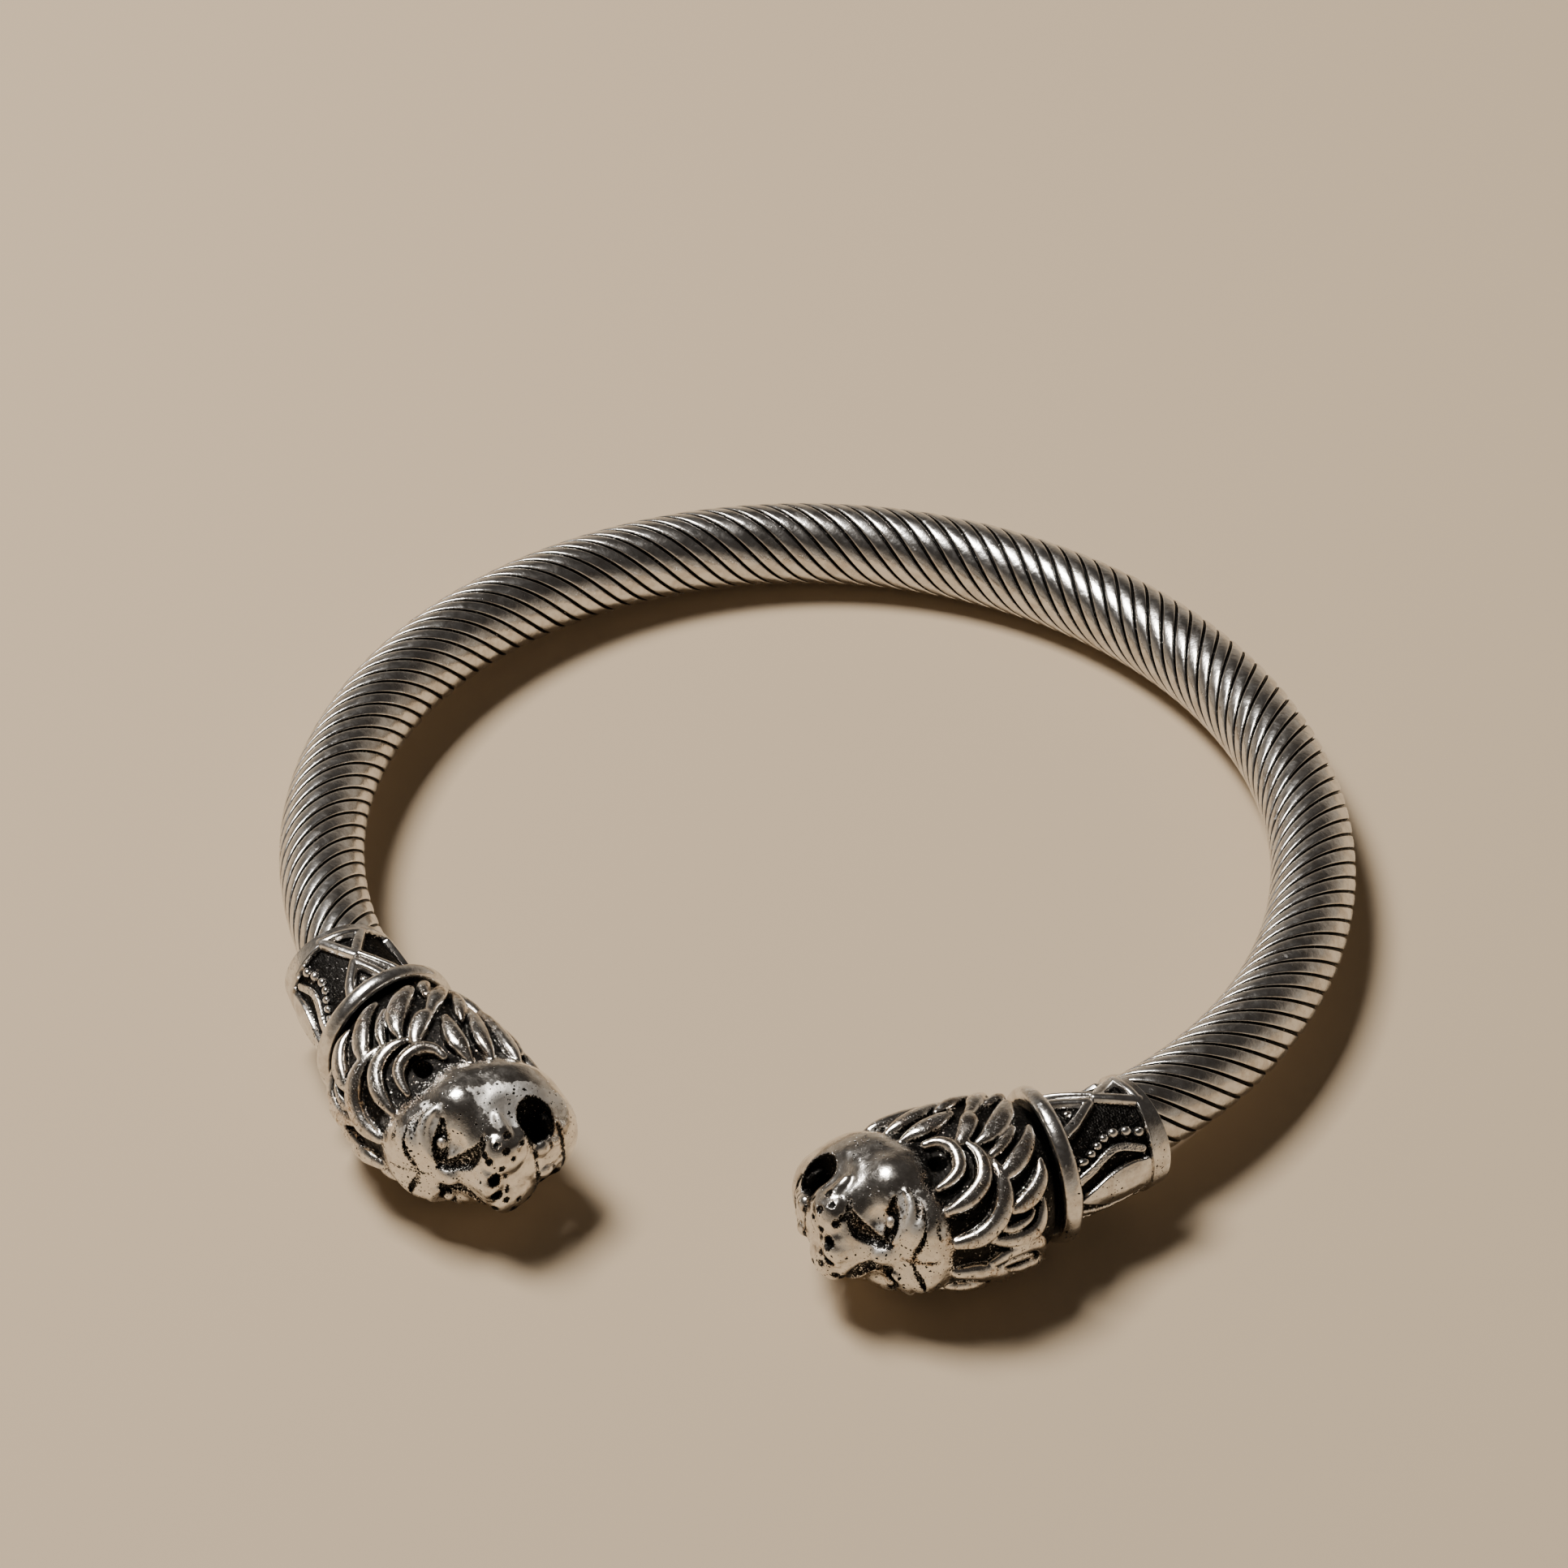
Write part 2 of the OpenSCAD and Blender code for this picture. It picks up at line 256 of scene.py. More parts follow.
def collar_relief(b, a):
    """Height over the ground and roughness, at a length b and an angle a in degrees"""
    a = np.abs(a)
    s = a * PER_DEGREE
    h = 0 * b
    for b0, a0, b1, a1, half in STRAPS:
        d = to_line(b, s, (b0, a0 * PER_DEGREE), (b1, a1 * PER_DEGREE))
        band = STRAP_HEIGHT * smoothstep(half + 0.2, half - 0.08, d)
        h = np.maximum(h, band + STRAP_BULGE * np.clip(1 - (d / half) ** 2, 0, 1))
    for b0, a0, r in BEADS:
        d = np.hypot(b - b0, s - a0 * PER_DEGREE)
        h = np.maximum(h, (np.sqrt(np.clip(r * r - d * d, 0, None)) + 0.12) * (d < r))
    d = to_path(b, s, smooth_path(RIDGE))
    h = np.maximum(h, RIDGE_HEIGHT * smoothstep(0.42, 0.2, d))
    rough = smoothstep(0.42, 0.3, d)
    outline = smooth_path(LEAF)
    inside = np.interp(b, outline[:, 0], outline[:, 1], left=-1, right=-1)
    edge = to_path(b, s, outline)
    depth = np.where(s < inside, edge, -edge)
    leaf = LEAF_HEIGHT * smoothstep(-0.07, 0.08, depth)
    h = np.maximum(h, leaf + LEAF_BULGE * smoothstep(0, 1.2, depth))
    lean = LIP_LEAN * np.cos(np.radians(a))
    h = np.maximum(h, LIP_HEIGHT * smoothstep(LIP_FROM - lean, LIP_TO - lean, b))
    grain = np.sin(b * 17.3 + 3 * np.sin(s * 9.1)) * np.sin(s * 19.7 + 2 * np.sin(b * 11.9))
    h = h + rough * RIDGE_GRAIN * grain * (h > 0.1) + GRAIN * grain * (h < 0.1)
    return h, rough


def level(values):
    """A row round the collar for each value"""
    return np.repeat(values[:, None], COLLAR_COLUMNS, 1)


def build_collar(side, name):
    a = np.linspace(-180, 180, COLLAR_COLUMNS, endpoint=False)
    wire, tail = np.array(RIM_PROFILE), np.array(TAIL)
    bb, aa = np.meshgrid(np.arange(0.6, COLLAR_LEN, COLLAR_STEP), a, indexing="ij")
    h, rough = collar_relief(bb, aa)
    band = GROUND_R - GROUND_TAPER * bb / COLLAR_LEN + h
    black = np.maximum(1 - smoothstep(0.08, 0.34, h), 0.24 * rough)
    b = np.vstack([level(wire[:, 0]), bb, level(tail[:, 0])])
    r = np.vstack([level(wire[:, 1]), band, band[-1] + level(tail[:, 1])])
    dark = np.vstack([level(1 - smoothstep(4.5, 4.8, wire[:, 1])), black, level(tail[:, 2])])
    angle = np.radians(a)[None]
    b = b - RIM_SKEW * (0.5 + 0.5 * np.cos(angle - RIM_SKEW_AT)) * smoothstep(1.6, 0.5, b)
    turn = b / RIM_R
    reach = RIM_R + r * np.cos(angle)
    p = np.stack([-reach * np.sin(turn), reach * np.cos(turn) - RIM_R, r * np.sin(angle)], -1)
    points = on_ring(p.reshape(-1, 3), side) + rim_place(side)
    return make_mesh(name, points, skin_faces(len(b), COLLAR_COLUMNS), dark.ravel())


# Head: places along it, and its heights to the crown and to the chin and half width there

PROFILE = np.array([
    (0.6, 4.3, 3.8, 4.2), (1.0, 5.0, 4.2, 4.75), (1.5, 5.9, 4.55, 5.2), (2.1, 6.45, 4.75, 5.5),
    (3.2, 6.95, 4.85, 5.7), (4.5, 7.3, 5.0, 5.85), (6.0, 7.6, 5.1, 5.9), (7.5, 7.75, 5.1, 5.8),
    (9.0, 7.6, 5.1, 5.6), (10.2, 7.3, 5.05, 5.4), (11.2, 6.85, 5.0, 5.2), (12.0, 6.35, 4.95, 5.05),
    (12.8, 5.75, 4.85, 4.95), (13.5, 5.1, 4.75, 4.8), (14.2, 4.6, 4.65, 4.6), (15.0, 4.35, 4.5, 4.2),
    (15.8, 4.2, 4.2, 3.6), (16.4, 3.9, 3.7, 3.0), (16.9, 3.3, 3.0, 2.3), (17.2, 2.4, 2.2, 1.5),
])
SQUARENESS = 2.25
# The cut ends of the head, and how round the front one is
NECK = 0.75
TIP = 17.2
TIP_ROUND = 1.4
# The ground between the locks lies this deep, with grit on it
MANE_DEPTH = 0.68
GRIT = 0.14
# A lock's middle lies this far from the skin, and its top no more than this above it
LOCK_LIFT = -0.48
LOCK_TOP = 0.18
LOCK_ROUND = 0.3
LOCK_WIDTH = 1.68
EAR_LIFT = -0.32
EAR_WIDTH = 1.35
# How far round a form its field is worked out
MARGIN = 0.8
# Where the mane ends, at degrees from the crown
MANE_FRONT = np.array([
    (0, 9.3), (15, 9.3), (30, 9.6), (45, 10.1), (60, 9.9), (75, 9.8), (90, 10.5), (110, 11.0),
    (130, 11.9), (150, 12.2), (180, 12.2),
])
# Each lock: places along the head, degrees from the crown and radii
LOCKS = [
    [(6.6, 67, 0.18), (6.25, 59, 0.28), (6.2, 50, 0.34), (6.55, 41, 0.38), (7.3, 35, 0.38),
     (8.2, 31, 0.34), (9.4, 28, 0.18)],
    [(5.4, 50, 0.15), (5.3, 40, 0.3), (5.4, 30, 0.38), (5.9, 21, 0.42), (6.7, 15, 0.42),
     (7.8, 11, 0.4), (9.1, 10, 0.26)],
    [(2.0, 72, 0.14), (2.5, 61, 0.32), (3.3, 52, 0.42), (4.25, 45, 0.42), (5.3, 40, 0.24)],
    [(2.2, 45, 0.14), (2.5, 35, 0.32), (3.3, 27, 0.4), (4.2, 23, 0.38), (5.0, 21, 0.22)],
    [(6.7, 8, 0.2), (5.4, 4, 0.32), (4.1, 3, 0.4), (3.3, 6, 0.36), (2.9, 13, 0.26), (2.7, 21, 0.14)],
    [(6.2, 13, 0.14), (5.1, 11, 0.22), (4.0, 13, 0.2), (3.5, 17, 0.12)],
    [(2.8, 97, 0.32), (3.35, 86, 0.46), (4.2, 76, 0.48), (5.1, 69, 0.36), (5.9, 66, 0.18)],
    [(3.2, 72, 0.16), (3.9, 64, 0.26), (4.75, 58, 0.26), (5.6, 54, 0.15)],
    [(7.5, 68, 0.18), (6.9, 71, 0.3), (6.3, 78, 0.4), (5.8, 86, 0.42), (5.6, 93, 0.26),
     (5.0, 101, 0.3), (4.5, 109, 0.4), (3.7, 121, 0.3)],
    [(6.7, 99, 0.22), (7.75, 95, 0.38), (8.8, 92, 0.44), (9.65, 91, 0.3), (10.5, 89, 0.13)],
    [(6.6, 122, 0.2), (7.6, 118, 0.3), (8.7, 113, 0.38), (9.65, 109, 0.36), (10.4, 107, 0.26),
     (11.0, 105, 0.13)],
    [(4.2, 128, 0.24), (5.4, 121, 0.32), (6.5, 114, 0.28), (7.3, 109, 0.14)],
    [(6.4, 138, 0.22), (7.8, 135, 0.34), (9.4, 132, 0.38), (10.8, 129, 0.34), (11.8, 127, 0.16)],
    [(2.4, 118, 0.16), (2.9, 110, 0.3), (3.8, 105, 0.2)],
    [(2.6, 143, 0.2), (3.6, 147, 0.34), (4.8, 147, 0.34), (6.0, 145, 0.2)],
    [(5.5, 158, 0.22), (7.0, 155, 0.36), (8.6, 153, 0.36), (10.0, 151, 0.2)],
    [(2.6, 166, 0.22), (4.2, 163, 0.36), (6.0, 165, 0.3), (7.2, 168, 0.16)],
    [(7.6, 170, 0.22), (9.2, 167, 0.36), (10.8, 165, 0.3), (12.0, 163, 0.16)],
]
EAR = [
    (9.3, 76, 0.22), (8.45, 75, 0.32), (7.8, 68, 0.4), (7.68, 58, 0.42), (7.95, 50, 0.38),
    (8.7, 45, 0.3), (9.6, 42, 0.18),
]
# The hollow of the ear: places, degrees, lifts from the skin and radii
EAR_PIT = [(8.5, 60, -0.2, 0.4), (8.9, 60, -0.55, 0.62), (9.15, 57, -1.3, 0.4)]
# Lines of the face: places, degrees and radii
BROW = [
    (11.7, 45, 0.2), (11.6, 38, 0.3), (11.8, 30, 0.36), (12.3, 21, 0.36), (13.0, 14, 0.28),
    (13.8, 9, 0.15),
]
EYE_PIT = [
    (12.45, 43, 0.1), (12.75, 36, 0.3), (12.98, 28, 0.48), (13.15, 20, 0.44), (13.2, 13, 0.26),
    (13.2, 8, 0.1),
]
EYE = (12.95, 27, 0.38)
PAD_EDGE = [(14.75, 71, 0.3), (15.25, 66, 0.5), (15.8, 60, 0.6), (16.3, 54, 0.5)]
GROOVE = [
    (15.1, 50, 0.1), (15.3, 42, 0.22), (15.2, 34, 0.36), (15.05, 27, 0.52), (14.75, 21, 0.6),
    (14.25, 15, 0.5), (13.6, 11, 0.34), (13.2, 11, 0.18),
]
CREASES = [
    [(9.3, 0, 0.07), (10.5, 0, 0.08), (11.6, 0, 0.07), (12.6, 0, 0.03)],
    [(12.1, 1, 0.08), (11.8, 8, 0.14), (11.4, 15, 0.15), (11.1, 23, 0.09), (10.95, 31, 0.04),
     (11.0, 37, 0.01)],
    [(11.4, 47, 0.02), (11.25, 40, 0.06), (11.4, 30, 0.07), (11.75, 22, 0.02)],
    [(10.2, 12, 0.03), (10.35, 19, 0.12), (10.2, 27, 0.1), (10.35, 35, 0.02)],
]
# Flats between the cheek, the eye and the nose, and between the cheek and the mouth
FLATS = [
    ((14.1, 5.15, 2.9), (1.3, 1.3, 1.3)),
    ((17.8, 1.0, 7.8), (5.0, 5.0, 5.0)),
]
# Round forms on the face: a middle and three half sizes, and how softly they join
FORMS = [
    ((10.9, 5.35, 1.75), (1.7, 1.45, 1.6), 0.5),
    ((11.9, 2.1, 2.8), (2.2, 2.4, 2.4), 0.45),
    ((12.75, 4.9, 0.0), (1.6, 0.85, 0.95), 0.4),
    ((14.6, 3.65, 0.0), (1.9, 0.75, 0.85), 0.3),
    ((16.2, 3.4, 0.0), (0.9, 0.9, 1.0), 0.25),
    ((16.05, 3.2, 0.8), (0.85, 0.8, 0.75), 0.2),
    ((15.85, 1.75, 1.6), (1.5, 1.9, 1.95), 0.15),
    ((15.2, -2.9, 0.0), (1.75, 1.5, 2.6), 0.5),
    ((16.1, -2.5, 0.0), (0.85, 0.75, 1.9), 0.3),
]
# Hollows of the mouth: a middle and three half sizes
MOUTH = [
    ((15.95, -0.85, 2.8), (1.45, 1.2, 1.95)),
    ((15.3, -0.95, 0.0), (1.0, 0.8, 2.8)),
]
TONGUE = ((15.5, -1.75, 0.0), (1.3, 0.45, 2.5))
# The front teeth, the lines of the lips round them and the line round the nose, as
# places with radii
TEETH = [
    ((16.75, 0.1, 0.95, 0.5), (16.85, -0.55, 1.0, 0.66), (16.8, -1.15, 0.95, 0.5)),
    ((16.7, -1.3, 0.9, 0.5), (16.65, -1.8, 0.8, 0.55)),
]
LIPS = [
    [(16.6, 0.4, 2.9, 0.05), (17.0, 0.25, 2.1, 0.09), (17.35, 0.15, 1.1, 0.1),
     (17.4, 0.1, 0.0, 0.1)],
    [(16.6, -2.2, 2.0, 0.06), (17.0, -2.2, 0.95, 0.08), (17.2, -2.2, 0.0, 0.08)],
    [(17.5, 0.1, 0.0, 0.1), (17.4, -2.2, 0.0, 0.1)],
    [(17.45, -1.2, 0.5, 0.05), (17.3, -1.25, 1.4, 0.05)],
    [(16.3, 2.75, 1.45, 0.03), (16.9, 2.6, 0.85, 0.06), (17.3, 2.5, 0.0, 0.06)],
]
NOSTRIL = ((17.25, 3.55, 0.8, 0.46), (16.4, 3.3, 0.7, 0.36))
WHISKER_PITS = [
    (16.22, 1.63, 3.49, 0.24), (16.3, 2.65, 3.21, 0.19), (17.0, 2.26, 2.72, 0.2),
    (15.84, 3.43, 2.51, 0.17), (16.32, 3.45, 2.2, 0.22), (17.1, 2.8, 1.47, 0.16),
    (16.96, 0.94, 2.62, 0.14), (17.25, 1.9, 1.9, 0.14),
]


def head_radius(x, c, s):
    """Distance of the skin from the head's axis, at a length x and a direction (c, s)"""
    crown, chin, width = (np.interp(x, PROFILE[:, 0], PROFILE[:, i]) for i in (1, 2, 3))
    up = np.where(c > 0, crown, chin)
    return ((np.abs(c) / up) ** SQUARENESS + (np.abs(s) / width) ** SQUARENESS) ** (-1 / SQUARENESS)


def on_skin(x, degrees, lift):
    """A place at a lift from the skin"""
    a = math.radians(degrees)
    c, s = math.cos(a), math.sin(a)
    r = float(head_radius(np.array(x), np.array(c), np.array(s))) + lift
    return x, r * c, r * s


def laid(beads, lift=0.0, share=0.0, wide=1.0):
    """Beads by length, degrees and radius, on a smooth line at a lift from the skin"""
    line = spline([(x, a, wide * r) for x, a, r in beads], 5)
    return [(*on_skin(x, a, lift + share * r), r) for x, a, r in line]


def soft_max(a, b, soft):
    """The greater of two fields, rounded where they cross"""
    ease = np.maximum(soft - np.abs(a - b), 0) / soft
    return np.maximum(a, b) + ease * ease * soft * 0.25


class Clay:
    """Half of a head as a distance field, negative inside. The other half mirrors it."""

    low = np.array([0.4, -6.0, 0.0])
    high = np.array([18.0, 8.6, 6.8])

    def __init__(self):
        self.axes = [np.arange(a, b, VOXEL, dtype=np.float32) for a, b in zip(self.low, self.high)]
        x, u, w = self.spots((slice(None),) * 3)
        rho = np.hypot(u, w) + 1e-6
        c, s = u / rho, w / rho
        from_crown = np.degrees(np.arccos(np.clip(c, -1, 1)))
        front = np.interp(from_crown, MANE_FRONT[:, 0], MANE_FRONT[:, 1])
        mane = smoothstep(1.5, -0.9, x - front) * MANE_DEPTH
        grit = np.sin(x * 10.7 + 2 * np.sin(u * 6.3)) * np.sin(w * 9.9 + 2 * np.sin(x * 7.1))
        grit = grit * np.sin(u * 11.3 + 1.5 * np.sin(w * 5.7))
        skin = rho - head_radius(x, c, s)
        field = np.maximum(skin + mane, NECK - x) + grit * mane * GRIT
        self.skin = skin.astype(np.float32)
        self.field = soft_max(field, x - TIP, TIP_ROUND).astype(np.float32)
        self.black = smoothstep(1.1, -0.7, x - front).astype(np.float32)

    def room(self, low, high):
        """The part of the grid that holds a box"""
        return tuple(slice(max(int((a - o) / VOXEL), 0), max(int((b - o) / VOXEL) + 2, 0))
                     for a, b, o in zip(low, high, self.low))

    def spots(self, room):
        """The places of a room's grid points along each axis"""
        x, u, w = (axis[cut] for axis, cut in zip(self.axes, room))
        return x.reshape(-1, 1, 1), u.reshape(1, -1, 1), w.reshape(1, 1, -1)

    def chain(self, beads, soft, cut=False, tone=1.0, top=None):
        """A tube through beads, each a place and a radius, up to a top above the skin"""
        beads = np.array(beads, float)
        reach = beads[:, 3].max() + MARGIN
        room = self.room(beads[:, :3].min(0) - reach, beads[:, :3].max(0) + reach)
        spots = self.spots(room)
        shape = np.full(self.field[room].shape, 9.0, np.float32)
        for p, q in zip(beads[:-1], beads[1:]):
            d = q[:3] - p[:3]
            apart = [spot - at for spot, at in zip(spots, p)]
            t = np.clip(sum(a * b for a, b in zip(apart, d)) / max(d @ d, 1e-9), 0, 1)
            gap = np.sqrt(sum((a - t * b) ** 2 for a, b in zip(apart, d)))
            shape = np.minimum(shape, gap - p[3] - t * (q[3] - p[3]))
        if top is not None:
            shape = soft_max(shape, self.skin[room] - top, LOCK_ROUND)
        self.join(room, shape, soft, cut, tone)

    def lump(self, middle, half, soft, cut=False, tone=1.0, bright=True):
        """A round form by its middle and three half sizes"""
        middle, half = np.array(middle, float), np.array(half, float)
        room = self.room(middle - half - MARGIN, middle + half + MARGIN)
        apart = [spot - at for spot, at in zip(self.spots(room), middle)]
        k0 = np.sqrt(sum((a / h) ** 2 for a, h in zip(apart, half)))
        k1 = np.sqrt(sum((a / h ** 2) ** 2 for a, h in zip(apart, half))) + 1e-6
        self.join(room, k0 * (k0 - 1) / k1, soft, cut, tone, bright)

    def join(self, room, shape, soft, cut, tone, bright=True):
        """Cut a shape out and blacken the hollow, or add it, bright or as black as its ground"""
        old, black = self.field[room], self.black[room]
        if cut:
            self.black[room] = np.maximum(black, tone * smoothstep(0.3, -0.08, shape))
            self.field[room] = soft_max(old, -shape, soft)
            return
        if bright:
            self.black[room] = black * smoothstep(-0.04, 0.12, shape)
        self.field[room] = -soft_max(-old, -shape, soft)


def sculpt():
    clay = Clay()
    for middle, half, soft in FORMS:
        clay.lump(middle, half, soft)
    clay.chain(laid(BROW, 0.02), 0.2)
    for middle, half in FLATS:
        clay.lump(middle, half, 0.3, cut=True, tone=0.1)
    clay.chain(laid(PAD_EDGE, share=-0.85), 0.3)
    for lock in LOCKS:
        clay.chain(laid(lock, LOCK_LIFT, wide=LOCK_WIDTH), 0.05, top=LOCK_TOP)
    clay.chain(laid(EAR, EAR_LIFT, wide=EAR_WIDTH), 0.1)
    clay.chain([(*on_skin(x, a, lift), r) for x, a, lift, r in EAR_PIT], 0.08, cut=True)
    clay.chain(laid(EYE_PIT), 0.08, cut=True, tone=0.75)
    clay.chain(laid(GROOVE, 0.05), 0.15, cut=True, tone=0.7)
    for crease in CREASES:
        clay.chain(laid(crease, 0.09, share=0.5), 0.12, cut=True, tone=0.75)
    x, a, r = EYE
    clay.lump(on_skin(x, a, -0.24), (r, r, 1.2 * r), 0.05)
    for middle, half in MOUTH:
        clay.lump(middle, half, 0.15, cut=True)
    clay.lump(*TONGUE, 0.2, bright=False)
    for tooth in TEETH:
        clay.chain(tooth, 0.08)
    for lip in LIPS:
        clay.chain(lip, 0.06, cut=True)
    clay.chain(NOSTRIL, 0.08, cut=True)
    for *middle, r in WHISKER_PITS:
        clay.lump(middle, (r, r, r), 0.05, cut=True)
    return clay


# From the field to a skin

CORNERS = [(i, j, k) for i in (0, 1) for j in (0, 1) for k in (0, 1)]
# How far out from the skin the field is read to see what shelters it, and the weights
SHELTER = ((0.25, 0.3), (0.5, 0.4), (0.85, 0.3))


def whole(half):
    """The half field and its mirror image as one"""
    return np.concatenate([half[:, :, :0:-1], half], 2)


def sample(field, cells):
    """The field between its grid points"""
    i = np.clip(np.floor(cells).astype(int), 0, np.array(field.shape) - 2)
    f = cells - i
    out = 0
    for corner in CORNERS:
        out = out + np.where(corner, f, 1 - f).prod(1) * field[tuple((i + corner).T)]
    return out


def without_specks(field):
    """The field without grid points that stand alone on their side of its zero"""
    for _ in range(3):
        inside = field < 0
        edged = np.pad(inside, 1).astype(np.int8)
        near = (edged[:-2, 1:-1, 1:-1] + edged[2:, 1:-1, 1:-1] + edged[1:-1, :-2, 1:-1]
                + edged[1:-1, 2:, 1:-1] + edged[1:-1, 1:-1, :-2] + edged[1:-1, 1:-1, 2:])
        alone = np.where(inside, near <= 1, near >= 5)
        field = np.where(alone, -0.02 * np.sign(field), field)
    return field


def surface_net(field):
    """A skin of four-sided faces over the zero of a field, in grid steps"""
    inside = field < 0
    size = np.array(field.shape) - 1
    count = np.zeros(size, np.int8)
    for i, j, k in CORNERS:
        count += inside[i:i + size[0], j:j + size[1], k:k + size[2]]
    cells = np.argwhere((count > 0) & (count < 8))
    total = np.zeros((len(cells), 3))
    hits = np.zeros(len(cells))
    for axis in range(3):
        step = np.eye(3, dtype=int)[axis]
        for corner in (corner for corner in CORNERS if corner[axis] == 0):
            a = field[tuple((cells + corner).T)]
            b = field[tuple((cells + corner + step).T)]
            cross = (a < 0) != (b < 0)
            t = np.where(cross, a / np.where(cross, a - b, 1), 0)
            total += np.where(cross[:, None], corner + t[:, None] * step, 0)
            hits += cross
    points = cells + total / hits[:, None]
    index = np.full(size, -1)
    index[tuple(cells.T)] = np.arange(len(cells))
    faces = []
    for axis in range(3):
        others = [(axis + 1) % 3, (axis + 2) % 3]
        step_b, step_c = np.eye(3, dtype=int)[others]
        low = np.take(inside, np.arange(size[axis]), axis)
        high = np.take(inside, np.arange(1, size[axis] + 1), axis)
        edge = np.argwhere(low != high)
        edge = edge[((edge[:, others] > 0) & (edge[:, others] < size[others])).all(1)]
        corners = (edge, edge - step_b, edge - step_b - step_c, edge - step_c)
        quad = np.stack([index[tuple(q.T)] for q in corners], 1)
        solid = low[tuple(edge.T)]
        faces.append(np.where(solid[:, None], quad, quad[:, ::-1]))
    return points, np.vstack(faces)


def largest_piece(points, faces):
    """Without the specks that float apart from the main skin"""
    label = np.arange(len(points))
    while True:
        lowest = label.copy()
        np.minimum.at(lowest, faces.ravel(), np.repeat(label[faces].min(1), 4))
        lowest = lowest[lowest]
        if (lowest == label).all():
            break
        label = lowest
    kept = label == np.bincount(label).argmax()
    index = np.cumsum(kept) - 1
    return points[kept], index[faces[kept[faces[:, 0]]]]


def head_parts():
    """Points, faces, normals and oxide of a whole head in its own axes"""
    clay = sculpt()
    field = without_specks(whole(clay.field))
    low = clay.low.copy()
    low[2] = -clay.axes[2][-1]
    cells, faces = largest_piece(*surface_net(field))
    slope = [g.astype(np.float32) for g in np.gradient(field)]
    for _ in range(3):
        g = np.stack([sample(s, cells) for s in slope], 1)
        step = sample(field, cells) / np.maximum((g * g).sum(1), 1e-6)
        cells = cells - g * step[:, None] * 0.7
    normals = g / np.maximum(np.linalg.norm(g, axis=1), 1e-9)[:, None]
    shade = 0
    for reach, weight in SHELTER:
        free = sample(field, cells + normals * reach / VOXEL) / reach
        shade = shade + weight * np.clip(1 - free, 0, 1)
    points = cells * VOXEL + low
    neck = smoothstep(1.3, 0.95, points[:, 0])
    oxide = np.maximum(np.maximum(shade, neck), sample(whole(clay.black), cells))
    return points, faces, normals, oxide


def build_head(side, name, parts):
    points, faces, normals, oxide = parts
    if side < 0:
        x, u, _ = points.T
        shift = LEFT_FORWARD * smoothstep(8.5, 12.5, x) * smoothstep(17.6, 16.2, x)
        points = points + np.outer(shift * smoothstep(-4.0, -0.5, u), (1, 0, 0))
    x, u, _ = points.T
    # Matt patches: on the forehead, and on the left head beside the nose too
    matt = smoothstep(3.2, 4.6, u) * smoothstep(10.2, 11.4, x) * 0.65
    if side < 0:
        patch = smoothstep(13.0, 14.0, x + 0.5 * u) * smoothstep(16.6, 15.6, x)
        matt = np.maximum(matt, patch * smoothstep(2.6, 1.4, u))
    placed = head_to_ring(points, side) + rim_place(side)
    return make_mesh(name, placed, faces.tolist(), oxide, head_to_ring(normals, side), matt)


# Materials

BLACK = (0.012, 0.011, 0.01, 1)
STAIN = (0.42, 0.27, 0.14, 1)
DULL = (0.45, 0.4, 0.35, 1)
# The cells that pits lie in: their scale and the size of their pits
PIT_CELLS = ((3400, 0.95), (5600, 0.8))
PIT_WANDER = (0.0003, 0.0003, 0.0003)
DENT_DEPTH = 0.00007


def node(tree, kind, **values):
    n = tree.nodes.new(kind)
    for key, value in values.items():
        setattr(n, key, value)
    return n


def put(tree, socket, value):
    if isinstance(value, bpy.types.NodeSocket):
        tree.links.new(value, socket)
    else:
        socket.default_value = value


def math_node(tree, operation, a, b=0.0, c=0.0, clamp=False):
    n = node(tree, "ShaderNodeMath", operation=operation, use_clamp=clamp)
    for socket, value in zip(n.inputs, (a, b, c)):
        put(tree, socket, value)
    return n.outputs[0]


def times(tree, a, b):
    return math_node(tree, "MULTIPLY", a, b)


def times_plus(tree, a, b, c):
    return math_node(tree, "MULTIPLY_ADD", a, b, c)


def swing(tree, value, amount, base):
    """A base with a noise added that swings to both sides"""
    return times_plus(tree, math_node(tree, "SUBTRACT", value, 0.5), amount, base)


def ramp(tree, value, low, high, out_low=0.0, out_high=1.0):
    n = node(tree, "ShaderNodeMapRange", interpolation_type="SMOOTHSTEP")
    for socket, v in zip(n.inputs, (value, low, high, out_low, out_high)):
        put(tree, socket, v)
    return n.outputs[0]


def mix_colour(tree, share, a, b):
    n = node(tree, "ShaderNodeMix", data_type="RGBA")
    put(tree, n.inputs[0], share)
    put(tree, n.inputs[6], a)
    put(tree, n.inputs[7], b)
    return n.outputs[2]


def noise(tree, place, scale, detail=3.0, rough=0.5, warp=0.0, output="Fac"):
    n = node(tree, "ShaderNodeTexNoise")
    put(tree, n.inputs["Vector"], place)
    n.inputs["Scale"].default_value = scale
    n.inputs["Detail"].default_value = detail
    n.inputs["Roughness"].default_value = rough
    n.inputs["Distortion"].default_value = warp
    return n.outputs[output]


